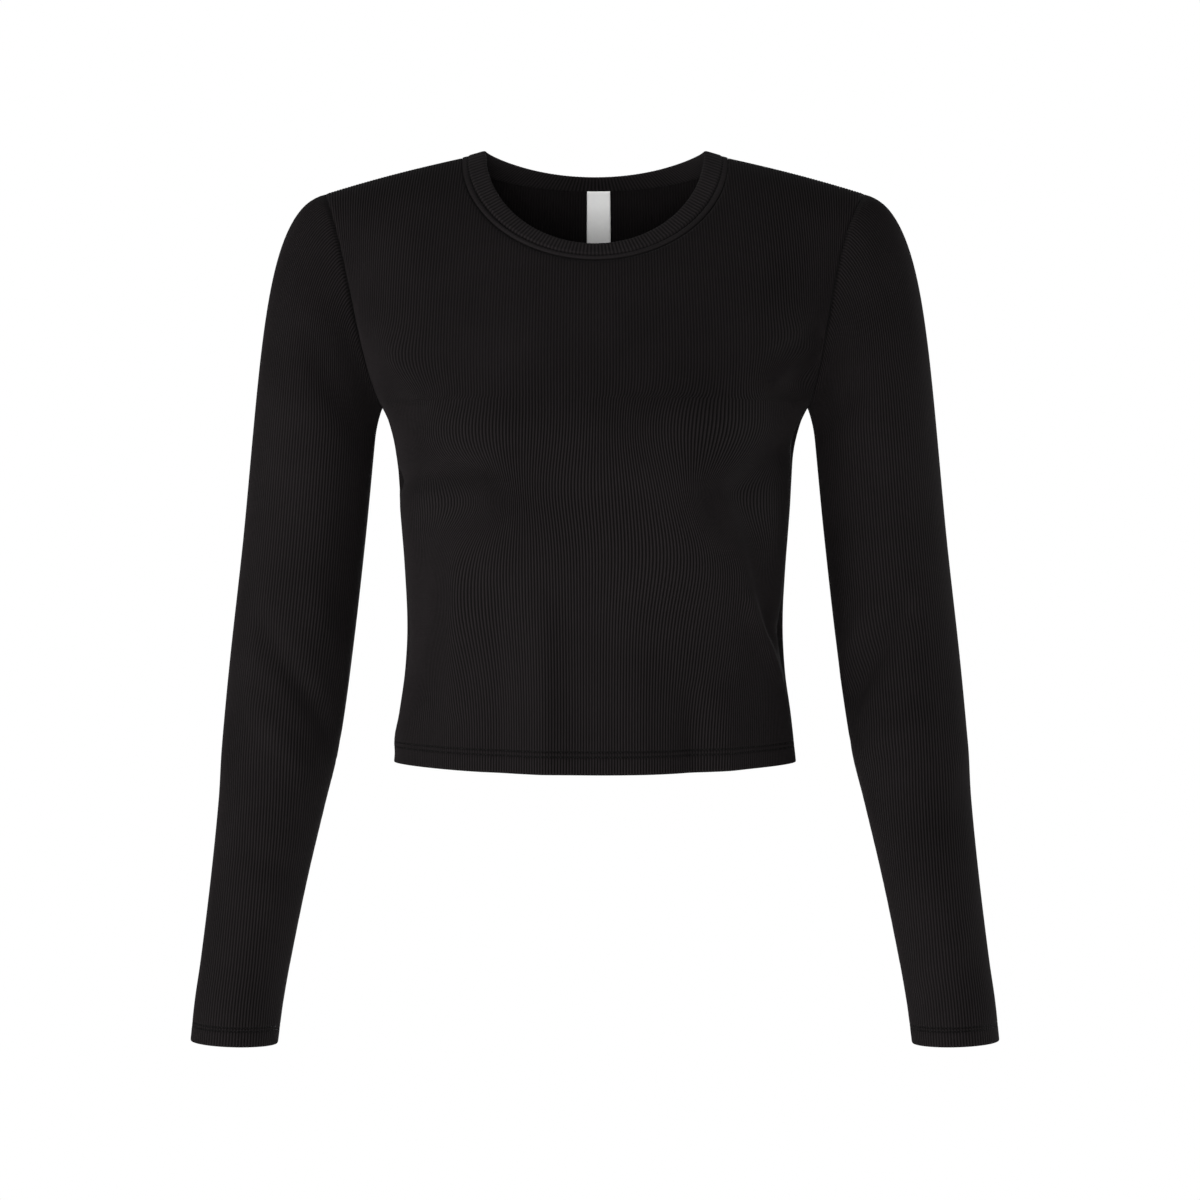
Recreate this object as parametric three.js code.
// Long-sleeve crop top in fine rib knit, hollow and filled out as worn, open at the neck, hem and cuffs.
// Millimetres, +Z up. The front faces -Y and the wearer's left is +X.
// The origin is midway between the two points where the shoulder seams meet the neckband.
import * as THREE from "three";

// Driving sizes of the cut
const HEM_Z = -444;
const UNDERARM_Z = -183;
const SHOULDER = { x: 194, z: -30.4, slope: 0.266, round: 0.0005 };
const NECK = { half: 96, top: -4.3, frontDrop: 79, backDrop: 16, backCurve: 1.25 };
const BAND = { half: 78.5, top: 1, frontDrop: 72, backDrop: 13.8, backCurve: 1.8, frontIn: 0.85, backIn: 0.8 };
const BAND_THICK = 2.6;
const CLOTH = 1.4;
const TURNED = 2.5;
const SEAM_GAP = 0.4;
const HEM = { stitch: 14, groove: 4, deep: 0.5, turn: 18 };
const CUFF = { stitch: 11.5, groove: 4, deep: 0.5, turn: 15 };
const HEM_LIFT = { side: 5, above: 70 };
const LABEL = { x: 2.5, wide: 17, long: 45, thick: 1, below: 1.5, off: 0.6 };
const CLOTH_COLOUR = 0x1b1a1c;
const LABEL_COLOUR = 0xcfcfcd;

// The body below the armholes, a row for each level: half width, depth in front of and behind the side seam, and how
// square its corners are, 2 being an ellipse
const BODY = [
  { z: -444, half: 144, front: 101, back: 84, square: 1.95 },
  { z: -409, half: 140.4, front: 100, back: 78, square: 2.1 },
  { z: -380, half: 136.8, front: 101, back: 75, square: 2.25 },
  { z: -344, half: 134.6, front: 104, back: 74, square: 2.35 },
  { z: -300, half: 136.2, front: 111, back: 80, square: 2.4 },
  { z: -250, half: 139.8, front: 116, back: 90, square: 2.4 },
  { z: -215, half: 142.5, front: 112, back: 95, square: 2.4 },
  { z: -193, half: 148, front: 107, back: 97, square: 2.4 },
  { z: -183, half: 153, front: 104, back: 98, square: 2.4 },
];

// Soft fullness of the chest on a general figure, with the cloth bridging straight across the middle
const CHEST = { x: 74, z: -247, out: 11, wide: 36, above: 62, below: 40 };

// How a panel rises from the underarm level to the line of the shoulder, a row for each share of its half width.
// rise is how far the cloth keeps the slope it has below, swing turns it towards the armhole, and deep and drop
// place the handle from which it rolls over on to the shoulder.
const FRONT_RISE = [
  { u: -0.25, rise: 48, swing: 0, deep: 52, drop: 31 },
  { u: 0, rise: 48, swing: 0, deep: 53, drop: 31 },
  { u: 0.25, rise: 48, swing: 0, deep: 52, drop: 31 },
  { u: 0.4, rise: 50, swing: 0, deep: 49, drop: 25 },
  { u: 0.55, rise: 52, swing: 0, deep: 46, drop: 17 },
  { u: 0.7, rise: 54, swing: -3, deep: 47, drop: 11 },
  { u: 0.85, rise: 50, swing: -10, deep: 49, drop: 9 },
  { u: 1, rise: 45, swing: -26, deep: 50, drop: 8 },
];
const BACK_RISE = [
  { u: -0.25, rise: 60, swing: 0, deep: 84, drop: 22 },
  { u: 0, rise: 60, swing: 0, deep: 88, drop: 22 },
  { u: 0.25, rise: 60, swing: 0, deep: 84, drop: 22 },
  { u: 0.4, rise: 58, swing: 0, deep: 72, drop: 20 },
  { u: 0.55, rise: 56, swing: 0, deep: 58, drop: 16 },
  { u: 0.7, rise: 54, swing: 3, deep: 53, drop: 12 },
  { u: 0.85, rise: 50, swing: 10, deep: 53, drop: 9 },
  { u: 1, rise: 45, swing: 26, deep: 52, drop: 8 },
];

// How far the armhole seam bites into each panel, as a share of its half width, and how it fades towards its two ends
const ARMHOLE = { frontLeft: 0.13, frontRight: 0.07, back: 0.1, start: 0.45, end: 1.4 };

// The sleeve below the armhole, a row for each level: centre and half sizes across and in depth
const SLEEVE = [
  { z: -207, x: 202.6, half: 43.4, y: 3, deep: 47 },
  { z: -280, x: 209.7, half: 43.3, y: 5, deep: 45.5 },
  { z: -366, x: 219.5, half: 43.1, y: 6, deep: 44 },
  { z: -430, x: 226.8, half: 41.3, y: 2, deep: 42.5 },
  { z: -466, x: 231.9, half: 37.8, y: -3, deep: 40.5 },
  { z: -523, x: 240.7, half: 33.7, y: -13, deep: 37 },
  { z: -580, x: 249.4, half: 31.2, y: -21, deep: 34 },
  { z: -608, x: 253.6, half: 30.7, y: -25, deep: 33 },
  { z: -637, x: 256.8, half: 30.3, y: -28, deep: 32 },
];
const CUFF_TILT = 0.04;

// How the sleeve leaves the armhole and turns down, a row for each place round it from underarm (0) to shoulder (1)
const CAP = [
  { turn: 0, out: 2, forward: 0, down: 5, rise: 7 },
  { turn: 0.2, out: 9, forward: 2, down: 5, rise: 16 },
  { turn: 0.5, out: 21, forward: 3, down: 5, rise: 40 },
  { turn: 0.8, out: 33, forward: 1, down: 7, rise: 76 },
  { turn: 1, out: 37, forward: 0, down: 10.5, rise: 92 },
];

// The largest soft folds, a row each: from (x, z) to (x, z) as seen from the front, their half width, and how far
// they stand out, or in where it is negative
const FRONT_FOLDS = [
  { x0: 172, z0: -128, x1: 118, z1: -168, wide: 9, out: -2.2 },
  { x0: 166, z0: -148, x1: 128, z1: -196, wide: 10, out: 1.8 },
  { x0: -168, z0: -138, x1: -112, z1: -190, wide: 11, out: 1.6 },
  { x0: 140, z0: -200, x1: 92, z1: -252, wide: 11, out: -2.4 },
  { x0: -146, z0: -244, x1: -100, z1: -243, wide: 8, out: -2.2 },
  { x0: -98, z0: -258, x1: -124, z1: -388, wide: 11, out: -2.2 },
  { x0: 96, z0: -262, x1: 112, z1: -350, wide: 11, out: -2 },
  { x0: 108, z0: -330, x1: 140, z1: -396, wide: 7, out: 2.4 },
  { x0: -40, z0: -370, x1: -40, z1: -452, wide: 13, out: 2 },
  { x0: -88, z0: -390, x1: -92, z1: -452, wide: 13, out: 1.8 },
  { x0: 72, z0: -385, x1: 74, z1: -452, wide: 14, out: -2 },
  { x0: 108, z0: -385, x1: 112, z1: -452, wide: 12, out: 2 },
];
const BACK_FOLDS = [
  { x0: 170, z0: -132, x1: 112, z1: -186, wide: 11, out: -2.2 },
  { x0: -170, z0: -132, x1: -118, z1: -180, wide: 10, out: -2 },
  { x0: -140, z0: -250, x1: -70, z1: -330, wide: 13, out: -2.2 },
  { x0: 138, z0: -262, x1: 66, z1: -340, wide: 14, out: -2.4 },
  { x0: -118, z0: -330, x1: 4, z1: -356, wide: 11, out: 2 },
  { x0: 120, z0: -352, x1: 12, z1: -372, wide: 12, out: 1.8 },
  { x0: -52, z0: -380, x1: -58, z1: -452, wide: 14, out: 2.2 },
  { x0: 38, z0: -385, x1: 44, z1: -452, wide: 15, out: -2 },
  { x0: 98, z0: -380, x1: 104, z1: -452, wide: 13, out: 2 },
];

// Folds of the sleeves, by the share of a turn from the underarm over the front (0.5 is the outer side) and the level
const LEFT_SLEEVE_FOLDS = [
  { t0: 0.06, z0: -404, t1: 0.34, z1: -346, wide: 12, out: -2.8 },
  { t0: 0.03, z0: -372, t1: 0.2, z1: -330, wide: 9, out: 2 },
  { t0: 0.04, z0: -438, t1: 0.26, z1: -410, wide: 10, out: 1.6 },
  { t0: 0.97, z0: -420, t1: 0.76, z1: -372, wide: 12, out: -2.4 },
  { t0: 0.1, z0: -196, t1: 0.3, z1: -150, wide: 11, out: -2.4 },
  { t0: 0.9, z0: -200, t1: 0.72, z1: -150, wide: 12, out: -2.2 },
  { t0: 0.12, z0: -590, t1: 0.34, z1: -560, wide: 11, out: 1.2 },
];
const RIGHT_SLEEVE_FOLDS = [
  { t0: 0.08, z0: -412, t1: 0.3, z1: -362, wide: 12, out: -2.6 },
  { t0: 0.04, z0: -384, t1: 0.2, z1: -318, wide: 13, out: 1.6 },
  { t0: 0.96, z0: -432, t1: 0.74, z1: -384, wide: 12, out: -2.4 },
  { t0: 0.1, z0: -204, t1: 0.28, z1: -140, wide: 12, out: -2.4 },
  { t0: 0.9, z0: -198, t1: 0.72, z1: -146, wide: 12, out: -2.2 },
  { t0: 0.1, z0: -520, t1: 0.3, z1: -500, wide: 12, out: -1.2 },
];

// Rows and columns of the walls
const NECK_TURNS = [0, 9, 18, 27, 36, 45, 54, 63, 72, 81, 90];
const SHOULDER_COLUMNS = 8;
const BODY_ROWS = 15;
const RISE_ROWS = 12;
const SLEEVE_COLUMNS = 2 * RISE_ROWS;
const CAP_ROWS = [0.12, 0.26, 0.42, 0.58, 0.75, 1];
const SLEEVE_ROWS = 17;
const OVAL_STEPS = 240;
const HALVINGS = 30;
const NECK_TRIES = 6;
const SEAM_STEPS = 200;

// How far below an edge its slope is taken, and the mean radius of a sleeve on which its folds are laid out
const SLOPE_STEP = 10;
const SLEEVE_RADIUS = 45;

// A fold keeps this share of its height all along, and rises to the whole of it in its middle
const FOLD_ENDS = 0.35;

// The share of its width over which the stitching draws a groove to its full depth
const GROOVE_FLOOR = 0.4;

// Above the armholes' feet the columns drift from even spacing to that of the neckline by this rise
const DRIFT_RISE = 0.8;

// How strongly the rows of a short column are drawn together near its end
const DRAW = { share: 0.8, most: 6 };

// A panel and a sleeve share the way of their walls fully where their own ways are at least this alike
const LIKE_WAYS = 0.4;

const vec = (x, y, z) => new THREE.Vector3(x, y, z);
const clamp = THREE.MathUtils.clamp;

// The value of a column of a table at a place along another column, smooth from row to row
function read(table, by, at, column) {
  const last = table.length - 1;
  const rising = table[last][by] > table[0][by];
  const place = clamp(at, Math.min(table[0][by], table[last][by]), Math.max(table[0][by], table[last][by]));
  let i = 0;
  while (i < last - 1 && (rising ? table[i + 1][by] < place : table[i + 1][by] > place)) i++;
  const slope = (k) => {
    const a = table[Math.max(k - 1, 0)];
    const b = table[Math.min(k + 1, last)];
    return (b[column] - a[column]) / (b[by] - a[by]);
  };
  const step = table[i + 1][by] - table[i][by];
  const t = (place - table[i][by]) / step;
  const p = table[i][column];
  const q = table[i + 1][column];
  const ease = t * t * (3 - 2 * t);
  return p + (q - p) * ease + step * t * (1 - t) * ((1 - t) * slope(i) - t * slope(i + 1));
}

// A quarter of a rounded oval, from its nose on the centre line to its side, read by a share of its length
function quarterOval(half, deep, square) {
  const points = [];
  const lengths = [0];
  for (let i = 0; i <= OVAL_STEPS; i++) {
    const turn = ((Math.PI / 2) * i) / OVAL_STEPS;
    const x = half * Math.sin(turn) ** (2 / square);
    const y = deep * Math.max(Math.cos(turn), 0) ** (2 / square);
    points.push({ x, y });
    if (i) lengths.push(lengths[i - 1] + Math.hypot(x - points[i - 1].x, y - points[i - 1].y));
  }
  return (share) => {
    const want = share * lengths[OVAL_STEPS];
    let i = 1;
    while (i < OVAL_STEPS && lengths[i] < want) i++;
    const t = clamp((want - lengths[i - 1]) / (lengths[i] - lengths[i - 1]), 0, 1);
    const a = points[i - 1];
    const b = points[i];
    return { x: a.x + (b.x - a.x) * t, y: a.y + (b.y - a.y) * t };
  };
}

// How far the chest stands out at a place seen from the front
function chestOut(x, z) {
  const tall = z > CHEST.z ? CHEST.above : CHEST.below;
  const across = (Math.abs(x) - CHEST.x) / CHEST.wide;
  const along = (z - CHEST.z) / tall;
  return CHEST.out * Math.exp(-across * across - along * along);
}

const bodyOvals = new Map();

// A point of the body below the armholes: face is -1 in front and 1 behind, share runs from the centre (0) to the
// side (1)
function bodyPoint(face, share, z) {
  const key = face + " " + z;
  const half = read(BODY, "z", z, "half");
  if (!bodyOvals.has(key)) {
    const deep = read(BODY, "z", z, face < 0 ? "front" : "back");
    bodyOvals.set(key, quarterOval(half, deep, read(BODY, "z", z, "square")));
  }
  const p = bodyOvals.get(key)(share);
  const out = face < 0 ? chestOut(p.x, z) * (1 - share ** 6) : 0;
  const low = clamp(1 - (z - HEM_Z) / HEM_LIFT.above, 0, 1);
  return vec(p.x, face * (p.y + out), z + HEM_LIFT.side * low * (p.x / half) ** 2);
}

// A point on a cubic curve with four control points
function bezier(a, b, c, d, t) {
  const s = 1 - t;
  return vec(0, 0, 0)
    .addScaledVector(a, s * s * s)
    .addScaledVector(b, 3 * s * s * t)
    .addScaledVector(c, 3 * s * t * t)
    .addScaledVector(d, t * t * t);
}

// The level of the shoulder seam, and of the line that carries it on, ever flatter, over the neck opening
function shoulderZ(x) {
  const long = SHOULDER.x - NECK.half;
  const at = Math.max(x, NECK.half);
  const z = SHOULDER.z + (SHOULDER.x - at) * (SHOULDER.slope + SHOULDER.round * (at - NECK.half));
  return z + ((SHOULDER.slope - SHOULDER.round * long) * (at * at - x * x)) / (2 * at);
}

// A point of a panel above the underarm level, rise running from 0 there to 1 on the line of the shoulder, which is
// carried on over the neck opening so that the cloth round the neck is one smooth form
function risePoint(face, share, rise) {
  const table = face < 0 ? FRONT_RISE : BACK_RISE;
  const foot = bodyPoint(face, share, UNDERARM_Z);
  const slope = foot.clone().sub(bodyPoint(face, share, UNDERARM_Z - SLOPE_STEP)).divideScalar(SLOPE_STEP);
  const lift = foot.clone().addScaledVector(slope, read(table, "u", share, "rise"));
  lift.y += read(table, "u", share, "swing");
  const top = vec(SHOULDER.x * share, 0, shoulderZ(SHOULDER.x * share));
  const roll = vec(top.x, top.y + face * read(table, "u", share, "deep"), top.z - read(table, "u", share, "drop"));
  return bezier(foot, lift, roll, top, rise);
}

// The level of an edge of the neckband at its own distance from the centre, as a share of its half width
function neckZ(edge, face, across) {
  const level = Math.sqrt(Math.max(1 - across * across, 0));
  return edge.top - (face < 0 ? edge.frontDrop * level : edge.backDrop * level ** edge.backCurve);
}

// The highest rise at which a test of it still holds
function highest(holds) {
  let low = 0;
  let high = 1;
  for (let i = 0; i < HALVINGS; i++) {
    const middle = (low + high) / 2;
    if (holds(middle)) low = middle;
    else high = middle;
  }
  return (low + high) / 2;
}

// The rise at which a column of a panel ends: the shoulder seam, or the neckline where that cuts it lower
function endRise(face, share) {
  if (SHOULDER.x * share >= NECK.half) return 1;
  return highest((rise) => {
    const p = risePoint(face, share, rise);
    return p.x >= NECK.half || p.z < neckZ(NECK, face, p.x / NECK.half);
  });
}

// The column, as a share of a panel's half width, that meets the neckline at a turn from the centre
function neckShare(face, turn) {
  const x = NECK.half * Math.sin(THREE.MathUtils.degToRad(turn));
  let share = x / SHOULDER.x;
  for (let i = 0; i < NECK_TRIES && x > 0; i++) share *= x / risePoint(face, share, endRise(face, share)).x;
  return Math.min(share, NECK.half / SHOULDER.x);
}

// The share of a panel's half width at which the armhole seam runs, on the wearer's left (1) or right (-1)
function armholeShare(face, side, rise) {
  const peak = ARMHOLE.start / (ARMHOLE.start + ARMHOLE.end);
  const most = peak ** ARMHOLE.start * (1 - peak) ** ARMHOLE.end;
  const front = side > 0 ? ARMHOLE.frontLeft : ARMHOLE.frontRight;
  const bite = face < 0 ? front : ARMHOLE.back;
  return 1 - (bite * rise ** ARMHOLE.start * (1 - rise) ** ARMHOLE.end) / most;
}

// The rises at which a panel has its rows, so that they part the armhole seam evenly
function riseRows() {
  const lengths = [0];
  const rises = [0];
  let last = risePoint(-1, 1, 0);
  for (let i = 1; i <= SEAM_STEPS; i++) {
    const rise = (i / SEAM_STEPS) ** 2;
    const point = risePoint(-1, armholeShare(-1, 1, rise), rise);
    rises.push(rise);
    lengths.push(lengths[i - 1] + point.distanceTo(last));
    last = point;
  }
  return Array.from({ length: RISE_ROWS + 1 }, (_, k) => {
    const want = (lengths[SEAM_STEPS] * k) / RISE_ROWS;
    let i = 1;
    while (i < SEAM_STEPS && lengths[i] < want) i++;
    const part = (want - lengths[i - 1]) / (lengths[i] - lengths[i - 1]);
    return clamp(THREE.MathUtils.lerp(rises[i - 1], rises[i], part), 0, 1);
  });
}

// How far the folds of a table move a point out, given its two coordinates on the cloth
function foldOut(folds, a, b) {
  let sum = 0;
  for (const f of folds) {
    const da = f.a1 - f.a0;
    const db = f.b1 - f.b0;
    const along = clamp(((a - f.a0) * da + (b - f.b0) * db) / (da * da + db * db), 0, 1);
    const gap = Math.hypot(a - f.a0 - da * along, b - f.b0 - db * along) / f.wide;
    const swell = Math.sin(Math.PI * (0.15 + 0.7 * along));
    sum += f.out * Math.exp(-gap * gap) * (FOLD_ENDS + (1 - FOLD_ENDS) * swell);
  }
  return sum;
}

// The way each point of a grid faces, from the faces round it; closed grids run on from their last column to their
// first
function normals(rows, closed) {
  const h = rows.length;
  const w = rows[0].length;
  const sum = rows.map((r) => r.map(() => vec(0, 0, 0)));
  const side = vec(0, 0, 0);
  const up = vec(0, 0, 0);
  for (let r = 0; r < h - 1; r++) {
    for (let c = 0; c < (closed ? w : w - 1); c++) {
      const d = (c + 1) % w;
      side.subVectors(rows[r + 1][d], rows[r][c]);
      up.subVectors(rows[r + 1][c], rows[r][d]);
      const n = vec(0, 0, 0).crossVectors(side, up);
      for (const [i, j] of [[r, c], [r, d], [r + 1, c], [r + 1, d]]) sum[i][j].add(n);
    }
  }
  return sum.map((r) => r.map((n) => n.normalize()));
}

// Moves a point of an edge into the cloth, square to the edge
function inset(point, inward, edge, gap) {
  const along = edge.clone().normalize();
  const way = inward.clone().addScaledVector(along, -inward.dot(along)).normalize();
  return point.clone().addScaledVector(way, gap);
}

// Draws the edges of a grid back by half the gap that neighbours keep at a seam
function trimmed(rows, closed) {
  const h = rows.length - 1;
  const w = rows[0].length - 1;
  const gap = SEAM_GAP / 2;
  const out = rows.map((r) => r.slice());
  const ends = rows[0].map((_, c) => c);
  for (const c of ends) {
    const before = closed ? (c + w) % (w + 1) : Math.max(c - 1, 0);
    const after = closed ? (c + 1) % (w + 1) : Math.min(c + 1, w);
    for (const [r, next] of [[0, 1], [h, h - 1]]) {
      const edge = rows[r][after].clone().sub(rows[r][before]);
      out[r][c] = inset(rows[r][c], rows[next][c].clone().sub(rows[r][c]), edge, gap);
    }
  }
  if (closed) return out;
  rows.forEach((row, r) => {
    for (const [c, next] of [[0, 1], [w, w - 1]]) {
      const edge = rows[Math.min(r + 1, h)][c].clone().sub(rows[Math.max(r - 1, 0)][c]);
      out[r][c] = inset(out[r][c], row[next].clone().sub(row[c]), edge, gap);
    }
  });
  return out;
}

// A closed solid from a grid of outer points and the same grid moved in, against way, by each row's thickness
function wall(rows, way, thickness, closed) {
  const h = rows.length;
  const w = rows[0].length;
  const inner = rows.map((row, r) => row.map((p, c) => p.clone().addScaledVector(way[r][c], -thickness[r])));
  const points = [...rows.flat(), ...inner.flat()];
  const at = (layer, r, c) => layer * h * w + r * w + (c % w);
  const index = [];
  const quad = (a, b, c, d) => index.push(a, b, c, a, c, d);
  const spans = closed ? w : w - 1;
  for (let r = 0; r < h - 1; r++) {
    for (let c = 0; c < spans; c++) {
      quad(at(0, r, c), at(0, r, c + 1), at(0, r + 1, c + 1), at(0, r + 1, c));
      quad(at(1, r, c), at(1, r + 1, c), at(1, r + 1, c + 1), at(1, r, c + 1));
    }
  }
  for (let c = 0; c < spans; c++) {
    quad(at(0, 0, c), at(1, 0, c), at(1, 0, c + 1), at(0, 0, c + 1));
    quad(at(0, h - 1, c), at(0, h - 1, c + 1), at(1, h - 1, c + 1), at(1, h - 1, c));
  }
  if (!closed) {
    for (let r = 0; r < h - 1; r++) {
      quad(at(0, r, 0), at(0, r + 1, 0), at(1, r + 1, 0), at(1, r, 0));
      quad(at(0, r, w - 1), at(1, r, w - 1), at(1, r + 1, w - 1), at(0, r + 1, w - 1));
    }
  }
  return geometry(points, index);
}

// A mesh's shape from its points and the corners of its triangles
function geometry(points, index) {
  const g = new THREE.BufferGeometry().setFromPoints(points);
  g.setIndex(index);
  g.computeVertexNormals();
  return g;
}

// Heights above an edge that a turned end needs: its fold, the groove of its stitching and the step of its raw edge
function turnedLevels(end) {
  const half = end.groove / 2;
  return [0, end.stitch - half, end.stitch - half / 2, end.stitch + half / 2, end.stitch + half, end.turn];
}

// How deep the stitching draws the cloth in at a height above the edge
function stitchIn(end, height) {
  return Math.abs(height - end.stitch) < end.groove * GROOVE_FLOOR ? -end.deep : 0;
}

// The columns of half a panel at its top edge, as shares of its half width
function topColumns(face) {
  const edge = NECK.half / SHOULDER.x;
  const top = NECK_TURNS.map((turn) => neckShare(face, turn));
  for (let i = 1; i <= SHOULDER_COLUMNS; i++) top.push(edge + ((1 - edge) * i) / SHOULDER_COLUMNS);
  return top;
}

// The rise of a row of a panel in a column that ends lower, with the rows drawn together only near that end
function drawnRise(rise, end) {
  const power = end < 1 ? Math.min(DRAW.share / (1 - end), DRAW.most) : DRAW.most;
  return rise - (1 - end) * rise ** power;
}

// The front (-1) or back (1) panel as a grid of rows from the hem to the top edge, its outer side facing out, with
// each row's thickness
function panelGrid(face) {
  const folds = (face < 0 ? FRONT_FOLDS : BACK_FOLDS).map((f) => ({ ...f, a0: f.x0, b0: f.z0, a1: f.x1, b1: f.z1 }));
  const bottom = HEM_Z + HEM.turn;
  const levels = turnedLevels(HEM).map((height) => HEM_Z + height);
  for (let i = 1; i <= BODY_ROWS; i++) levels.push(bottom + 1 + ((UNDERARM_Z - bottom - 1) * i) / BODY_ROWS);
  const rises = riseRows().slice(1);
  const tops = topColumns(face);
  const evens = tops.map((_, i) => i / (tops.length - 1));
  const half = (side) => [
    ...levels.map((z) => evens.map((u) => bodyPoint(face, u, z))),
    ...rises.map((rise) =>
      tops.map((top, i) => {
        const share = THREE.MathUtils.lerp(evens[i], top, THREE.MathUtils.smoothstep(rise, 0, DRIFT_RISE));
        const column = share * armholeShare(face, side, rise);
        return risePoint(face, column, drawnRise(rise, endRise(face, column)));
      }),
    ),
  ];
  const right = half(-1).map((row) => row.slice(1).reverse().map((p) => vec(-p.x, p.y, p.z)));
  const across = half(1).map((row, r) => [...right[r], ...row]);
  const rows = face < 0 ? across : across.map((row) => row.reverse());
  const way = normals(rows, false);
  const moved = rows.map((row, r) =>
    row.map((p, c) => {
      const seam = c === 0 || c === row.length - 1 || r === rows.length - 1;
      const out = (seam ? 0 : foldOut(folds, p.x, p.z)) + (r < levels.length ? stitchIn(HEM, levels[r] - HEM_Z) : 0);
      return p.clone().addScaledVector(way[r][c], out);
    }),
  );
  return { rows: moved, thickness: rows.map((_, r) => (levels[r] <= bottom ? TURNED : CLOTH)) };
}

// The armhole seam of a side, from the underarm over the front to the shoulder and down the back, on the panels' rows
function armholeLoop(side) {
  const rises = riseRows();
  const front = rises.slice(0, -1).map((rise) => risePoint(-1, armholeShare(-1, side, rise), rise));
  const back = rises.slice(1).reverse().map((rise) => risePoint(1, armholeShare(1, side, rise), rise));
  return [...front, ...back];
}

// A point of the sleeve below its cap, turn running from the underarm (0) over the front and the outer side (0.5)
// to 1
function armPoint(turn, z) {
  const angle = turn * 2 * Math.PI;
  const across = -read(SLEEVE, "z", z, "half") * Math.cos(angle);
  const x = read(SLEEVE, "z", z, "x") + across;
  const y = read(SLEEVE, "z", z, "y") - read(SLEEVE, "z", z, "deep") * Math.sin(angle);
  const low = clamp((SLEEVE[0].z - z) / (SLEEVE[0].z - SLEEVE[SLEEVE.length - 1].z), 0, 1);
  return vec(x, y, z + across * CUFF_TILT * low * low);
}

// A sleeve as a grid of rings from the cuff to the armhole, drawn as if on the wearer's left, with its own armhole
// and folds
function sleeveGrid(side, table) {
  const folds = table.map((f) => ({ ...f, b0: f.z0, b1: f.z1 }));
  const loop = armholeLoop(side);
  const top = SLEEVE[0].z;
  const end = SLEEVE[SLEEVE.length - 1].z;
  const turns = loop.map((_, i) => i / SLEEVE_COLUMNS);
  const rows = [loop];
  const thickness = [CLOTH];
  for (const t of CAP_ROWS) {
    rows.push(
      turns.map((turn, i) => {
        const over = 1 - Math.abs(1 - 2 * turn);
        const face = turn < 0.5 ? -1 : 1;
        const leave = vec(read(CAP, "turn", over, "out"), 0, -read(CAP, "turn", over, "down"));
        leave.y = face * read(CAP, "turn", over, "forward");
        const foot = armPoint(turn, top);
        const below = armPoint(turn, top - SLOPE_STEP);
        const up = foot.clone().sub(below).setLength(read(CAP, "turn", over, "rise"));
        return bezier(loop[i], loop[i].clone().add(leave), foot.clone().add(up), foot, t);
      }),
    );
    thickness.push(CLOTH);
  }
  const turned = turnedLevels(CUFF).reverse();
  const levels = [];
  for (let i = 1; i <= SLEEVE_ROWS; i++) levels.push(top + ((end + CUFF.turn + 1 - top) * i) / SLEEVE_ROWS);
  for (const h of turned) levels.push(end + h);
  for (const z of levels) {
    rows.push(turns.map((turn) => armPoint(turn, z)));
    thickness.push(z <= end + CUFF.turn ? TURNED : CLOTH);
  }
  const rising = rows.slice().reverse();
  const way = normals(rising, true);
  const around = 2 * Math.PI * SLEEVE_RADIUS;
  const moved = rising.map((row, r) =>
    row.map((p, c) => {
      const near = folds.map((f) => {
        const wrap = Math.round((f.t0 + f.t1) / 2 - turns[c]);
        return { ...f, a0: (f.t0 - wrap) * around, a1: (f.t1 - wrap) * around };
      });
      const folded = r === rising.length - 1 ? 0 : foldOut(near, turns[c] * around, p.z);
      return p.clone().addScaledVector(way[r][c], folded + stitchIn(CUFF, p.z - end));
    }),
  );
  return { rows: moved, thickness: thickness.reverse() };
}

// The way each point of the left armhole seam is moved in, the same for the panel and the sleeve that meet there
function armholeWay(panel, face, sleeve, k) {
  const own = panel[panel.length - 1 - RISE_ROWS + k];
  const a = face < 0 ? own[own.length - 1] : own[0];
  const b = sleeve[sleeve.length - 1][face < 0 ? k : (SLEEVE_COLUMNS - k) % SLEEVE_COLUMNS];
  const joined = a.clone().add(b).normalize();
  const share = THREE.MathUtils.smoothstep(a.dot(b), 0, LIKE_WAYS);
  if (k === RISE_ROWS) joined.y = 0;
  return [a, b].map((way) => way.lerp(joined, share).normalize());
}

// The way the neckband's face looks at a turn
function bandOut(turn) {
  const along = edgePoint(turn).sub(seamPoint(turn));
  const round = seamPoint(turn + 1).sub(seamPoint(turn - 1));
  const out = vec(0, 0, 0).crossVectors(round, along);
  if (Math.abs(along.y) < SEAM_GAP) out.y = 0;
  return out.normalize();
}

// The ways a panel's wall is moved in: square to it, but along the seams in the plane that it shares with its
// neighbour
function panelWays(rows) {
  const ways = normals(rows, false);
  const last = rows.length - 1;
  const end = rows[0].length - 1;
  rows.forEach((row, r) =>
    row.forEach((p, c) => {
      const way = ways[r][c];
      if (r === last && Math.abs(p.x) < NECK.half + SEAM_GAP) {
        const turn = THREE.MathUtils.radToDeg(Math.asin(clamp(p.x / NECK.half, -1, 1)));
        way.copy(bandOut(Math.abs(p.y) < SEAM_GAP || p.y < 0 ? turn : 180 - turn));
      }
      const seam = r === last || c === 0 || c === end;
      if (seam && Math.abs(p.y) < SEAM_GAP) way.y = 0;
      way.normalize();
    }),
  );
  return ways;
}

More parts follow.
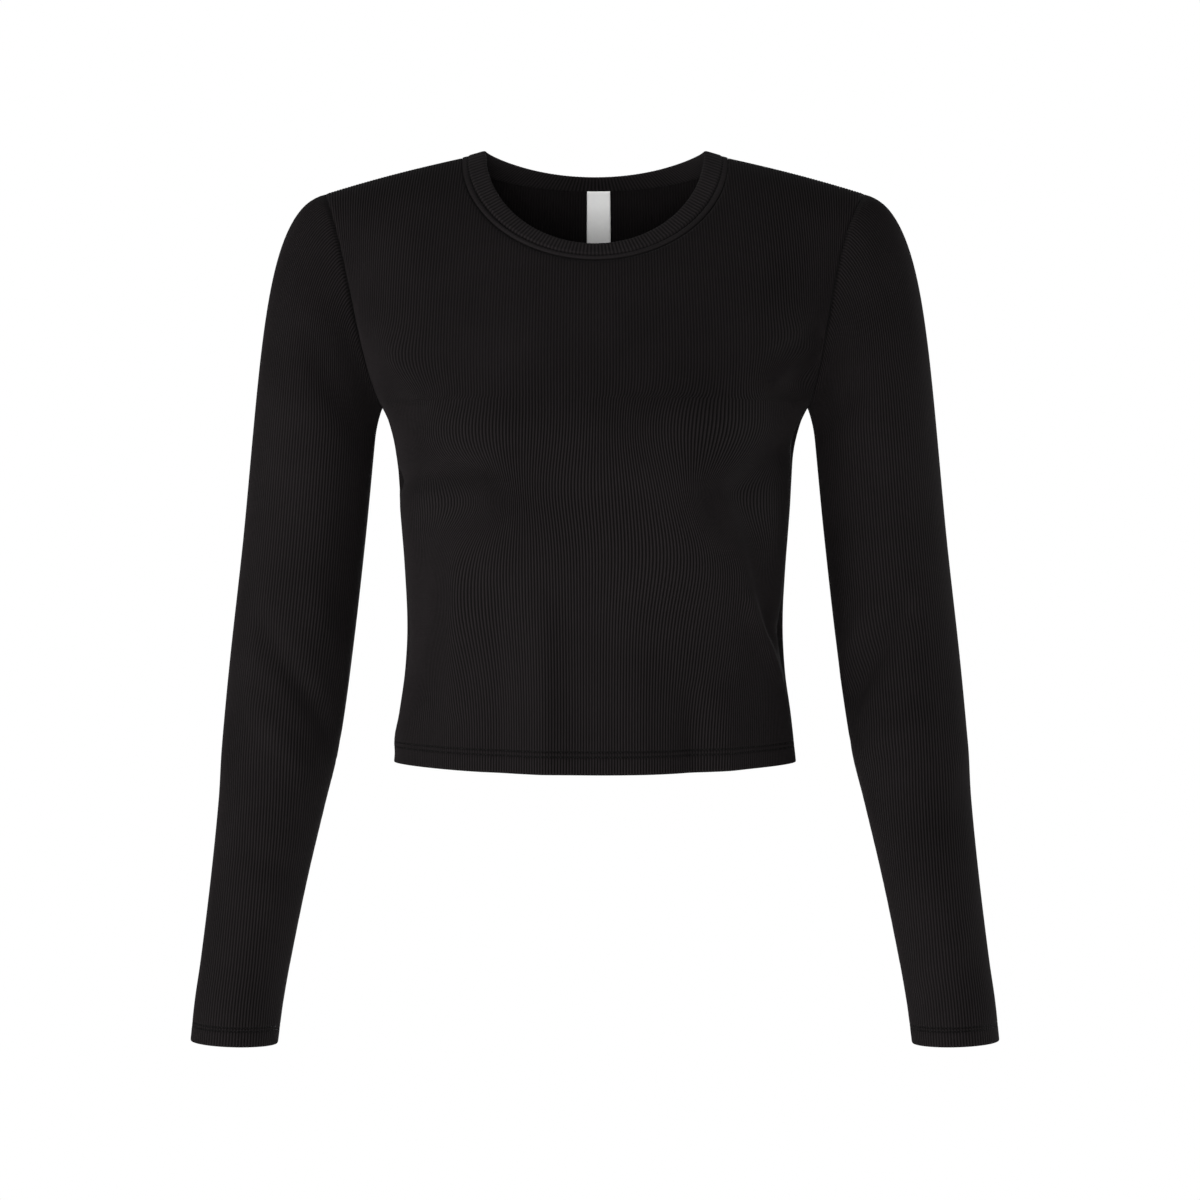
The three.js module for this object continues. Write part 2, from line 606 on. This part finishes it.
// The neckband's section: how far along its width, and how far out of its middle, as shares of width and thickness
const BAND_SECTION = [
  { along: 0, out: 0.3 },
  { along: 0.1, out: 0.62 },
  { along: 0.2, out: 0.6 },
  { along: 0.25, out: 0.36 },
  { along: 0.3, out: 0.6 },
  { along: 0.6, out: 0.64 },
  { along: 0.9, out: 0.5 },
  { along: 1, out: 0 },
  { along: 0.92, out: -0.42 },
  { along: 0.5, out: -0.5 },
  { along: 0, out: -0.45 },
];

// The point of the neckline at a turn in degrees from the centre front towards the wearer's left
function seamPoint(turn) {
  const angle = THREE.MathUtils.degToRad(turn);
  const face = Math.cos(angle) >= 0 ? -1 : 1;
  const side = Math.sin(angle) < 0 ? -1 : 1;
  const share = neckShare(face, THREE.MathUtils.radToDeg(Math.asin(Math.abs(Math.sin(angle)))));
  const p = risePoint(face, share, endRise(face, share));
  return vec(side * p.x, p.y, p.z);
}

// The point of the neckband's folded edge at the same turn
function edgePoint(turn) {
  const across = Math.sin(THREE.MathUtils.degToRad(turn));
  const y = seamPoint(turn).y;
  const face = y < 0 ? -1 : 1;
  return vec(BAND.half * across, y * (face < 0 ? BAND.frontIn : BAND.backIn), neckZ(BAND, face, across));
}

// The doubled neckband, its section carried round the whole neckline
function neckbandGeometry() {
  const quarter = NECK_TURNS.slice(0, -1);
  const turns = [0, 90, 180, 270].flatMap((start) =>
    start % 180 ? NECK_TURNS.slice(1).reverse().map((t) => start + 90 - t) : quarter.map((t) => start + t),
  );
  const rings = turns.map((turn) => {
    const seam = seamPoint(turn);
    const along = edgePoint(turn).sub(seam);
    const out = bandOut(turn);
    const foot = seam.clone().addScaledVector(along.clone().normalize(), SEAM_GAP / 2);
    return BAND_SECTION.map((s) =>
      foot.clone().addScaledVector(along, s.along).addScaledVector(out, (s.out - 0.5) * BAND_THICK),
    );
  });
  const n = BAND_SECTION.length;
  const index = [];
  rings.forEach((_, i) => {
    const next = (i + 1) % rings.length;
    for (let j = 0; j < n; j++) {
      const k = (j + 1) % n;
      const [a, b, c, d] = [i * n + j, next * n + j, next * n + k, i * n + k];
      index.push(a, b, c, a, c, d);
    }
  });
  return geometry(rings.flat(), index);
}

// The blank tape inside the back neck, hanging from the neck seam down the inner face of the back panel
function labelGeometry() {
  const across = 4;
  const down = 8;
  const top = risePoint(1, 0, endRise(1, 0)).z - LABEL.below;
  const rows = [];
  for (let r = 0; r <= down; r++) {
    const z = top - LABEL.long * (1 - r / down);
    const row = [];
    for (let c = 0; c <= across; c++) {
      const x = LABEL.x + LABEL.wide * (c / across - 0.5);
      const share = Math.abs(x) / SHOULDER.x;
      row.push(vec(x, risePoint(1, share, highest((rise) => risePoint(1, share, rise).z < z)).y, z));
    }
    rows.push(row);
  }
  const way = normals(rows, false);
  const inside = CLOTH + LABEL.off + LABEL.thick;
  const face = rows.map((row, r) => row.map((p, c) => p.clone().addScaledVector(way[r][c], inside)));
  return wall(face, way, rows.map(() => LABEL.thick), false);
}

// A matt surface of one colour
function finish(colour, roughness) {
  return new THREE.MeshStandardMaterial({ color: colour, roughness, metalness: 0 });
}

// The panels and the sleeves, with the ways of their walls matched along the armholes
function bodyAndSleeves() {
  const mirror = (grid) => grid.map((r) => r.map((p) => vec(-p.x, p.y, p.z)).reverse());
  const front = panelGrid(-1);
  const back = panelGrid(1);
  const left = sleeveGrid(1, LEFT_SLEEVE_FOLDS);
  const right = sleeveGrid(-1, RIGHT_SLEEVE_FOLDS);
  const frontWays = panelWays(front.rows);
  const backWays = panelWays(back.rows);
  const leftWays = normals(left.rows, true);
  const rightWays = normals(right.rows, true);
  for (const [ways, face] of [[frontWays, -1], [backWays, 1]]) {
    for (let k = 1; k <= RISE_ROWS; k++) armholeWay(ways, face, leftWays, k);
    const flipped = mirror(ways);
    for (let k = 1; k <= RISE_ROWS; k++) armholeWay(flipped, face, rightWays, k);
    mirror(flipped).forEach((row, r) => row.forEach((way, c) => ways[r][c].copy(way)));
  }
  const piece = (grid, ways, closed) => wall(trimmed(grid.rows, closed), ways, grid.thickness, closed);
  const flipped = { rows: mirror(right.rows), thickness: right.thickness };
  return [
    ["front", piece(front, frontWays, false)],
    ["back", piece(back, backWays, false)],
    ["sleeve_left", piece(left, leftWays, true)],
    ["sleeve_right", piece(flipped, mirror(rightWays), true)],
  ];
}

const top = new THREE.Group();
const knit = finish(CLOTH_COLOUR, 0.9);
const satin = finish(LABEL_COLOUR, 0.5);
const pieces = [
  ...bodyAndSleeves().map(([name, shape]) => [name, shape, knit]),
  ["neckband", neckbandGeometry(), knit],
  ["neck_label", labelGeometry(), satin],
];
for (const [name, shape, material] of pieces) {
  const mesh = new THREE.Mesh(shape, material);
  mesh.name = name;
  top.add(mesh);
}

export default top;
